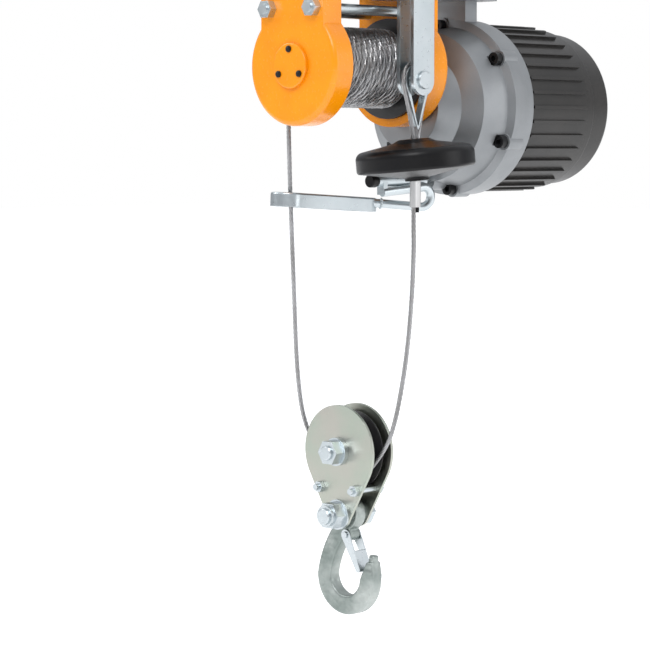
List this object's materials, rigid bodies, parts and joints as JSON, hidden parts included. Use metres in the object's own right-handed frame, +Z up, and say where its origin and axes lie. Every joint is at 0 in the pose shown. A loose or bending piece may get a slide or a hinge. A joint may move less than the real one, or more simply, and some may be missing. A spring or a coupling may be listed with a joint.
{
  "type": "electric wire rope hoist",
  "caption": "Electric wire rope hoist: motor, gearcase and rope drum over a sheave block with a latched hook and a limit lever.",
  "frame": {"origin": "middle of the hanger bolt holes, on the top face of the hanger plate", "axes": "X along the drum to the motor, Y to the back, +Z up"},
  "size_m": [0.406, 0.2498, 0.6189],
  "materials": {
    "orange": "gloss enamel",
    "plate_steel": "zinc plated",
    "zinc": "bright zinc plate",
    "zinc_yellow": "zinc plate with a faint yellow tint",
    "forged_zinc": "forged, galvanised",
    "bearing_steel": "ground",
    "gear_steel": "cut and oiled",
    "drum_steel": "satin",
    "rope": "greased wire",
    "case_aluminium": "cast and painted silver",
    "black_screw": "black oxide",
    "black_paint": "satin black",
    "core_steel": "varnished laminations",
    "copper": "enamelled copper",
    "brake_lining": "friction lining",
    "black_plastic": "moulded",
    "black_rubber": "moulded, satin",
    "ferrule_aluminium": "pressed",
    "sheave_black": "gloss black"
  },
  "bodies": {
    "frame": {"hanger_plate": "plate_steel", "plate_screws": "zinc", "left_cheek": "orange", "right_cheek": "orange", "bearing_cap": "orange", "tie_rods": "zinc", "large_bearings": "bearing_steel", "layshaft_bearings": "bearing_steel", "gearcase": "case_aluminium", "gearcase_cover": "case_aluminium", "gearcase_bolts": "black_screw", "motor_housing": "black_paint", "stator_core": "core_steel", "windings": "copper", "motor_end_cover": "black_paint", "brake_coil": "core_steel", "fan_cowl": "black_paint", "control_box": "black_plastic", "control_box_lid": "black_plastic", "control_box_screws": "zinc", "cable_glands": "black_plastic", "pivot_shaft": "zinc", "pivot_cap": "black_rubber", "limit_switch": "black_plastic", "anchor_bracket": "zinc", "anchor_pin": "zinc", "rope_eye": "rope", "thimble": "zinc", "stop_disc": "black_rubber", "ferrule": "ferrule_aluminium", "rope_tail": "black_rubber", "rope_falls": "rope"},
    "drum": {"drum": "drum_steel", "drum_rope": "rope", "drum_shaft": "bearing_steel", "drum_gear": "gear_steel"},
    "layshaft": {"layshaft": "gear_steel", "layshaft_gear": "gear_steel"},
    "rotor": {"rotor_shaft": "gear_steel", "rotor_core": "core_steel", "brake_disc": "brake_lining", "cooling_fan": "black_plastic"},
    "brake_armature": {"brake_armature": "core_steel"},
    "lever": {"limit_lever": "zinc", "rope_guide": "zinc"},
    "plunger": {"switch_plunger": "bearing_steel"},
    "hook_block": {"block_plate_left": "zinc_yellow", "block_plate_right": "zinc_yellow", "axle_bolt": "zinc", "hook_bolt": "zinc", "block_washers": "zinc", "axle_nut": "zinc", "hook_nut": "zinc", "guard_pins": "zinc", "guard_nuts": "zinc", "hook_spacers": "zinc"},
    "sheave": {"sheave": "sheave_black"},
    "hook": {"hook": "forged_zinc", "latch_pin": "zinc"},
    "latch": {"latch": "zinc"}
  },
  "joints": [
    {"name": "drum_spin", "type": "hinge", "parent": "frame", "child": "drum", "pos_m": [0, 0, -0.077], "axis": [1, 0, 0], "range_deg": [0, 366.69]},
    {"name": "layshaft_spin", "type": "hinge", "parent": "frame", "child": "layshaft", "pos_m": [0, 0.03445, -0.10396], "axis": [1, 0, 0], "range_deg": [-1471.77, 5]},
    {"name": "rotor_spin", "type": "hinge", "parent": "frame", "child": "rotor", "pos_m": [0, 0, -0.1144], "axis": [1, 0, 0], "range_deg": [-5, 7338.86]},
    {"name": "brake_release", "type": "slide", "parent": "frame", "child": "brake_armature", "axis": [1, 0, 0], "range_m": [0, 0.0005], "stiffness_N_per_m": 20000, "springref_m": -0.0005},
    {"name": "hook_travel", "type": "slide", "parent": "frame", "child": "hook_block", "axis": [0, 0, 1], "range_m": [0, 0.1205], "deforming": ["rope_falls"]},
    {"name": "sheave_spin", "type": "hinge", "parent": "hook_block", "child": "sheave", "pos_m": [-0.08, -0.0095, -0.455], "axis": [1, 0, 0], "range_deg": [-1, 215.86]},
    {"name": "lever_lift", "type": "hinge", "parent": "frame", "child": "lever", "pos_m": [0, 0, -0.189], "axis": [1, 0, 0], "range_deg": [0, 10], "stiffness_Nm_per_rad": 0.6, "springref_deg": -34.38},
    {"name": "plunger_press", "type": "slide", "parent": "frame", "child": "plunger", "axis": [0, 0, 1], "range_m": [0, 0.003]},
    {"name": "hook_swing", "type": "hinge", "parent": "hook_block", "child": "hook", "pos_m": [-0.08, -0.0095, -0.5176], "axis": [1, 0, 0], "range_deg": [-35, 35]},
    {"name": "latch_open", "type": "hinge", "parent": "hook", "child": "latch", "pos_m": [-0.08, -0.0125, -0.5386], "axis": [1, 0, 0], "range_deg": [0, 32], "stiffness_Nm_per_rad": 0.05, "springref_deg": -34.38}
  ],
  "couplings": [
    {"joint": "layshaft_spin", "follows": "drum_spin", "ratio": -4},
    {"joint": "rotor_spin", "follows": "drum_spin", "ratio": 20},
    {"joint": "hook_travel", "follows": "drum_spin", "m_per_rad": 0.01875},
    {"joint": "sheave_spin", "follows": "drum_spin", "ratio": 0.58594},
    {"joint": "plunger_press", "follows": "lever_lift", "m_per_rad": 0.016}
  ]
}
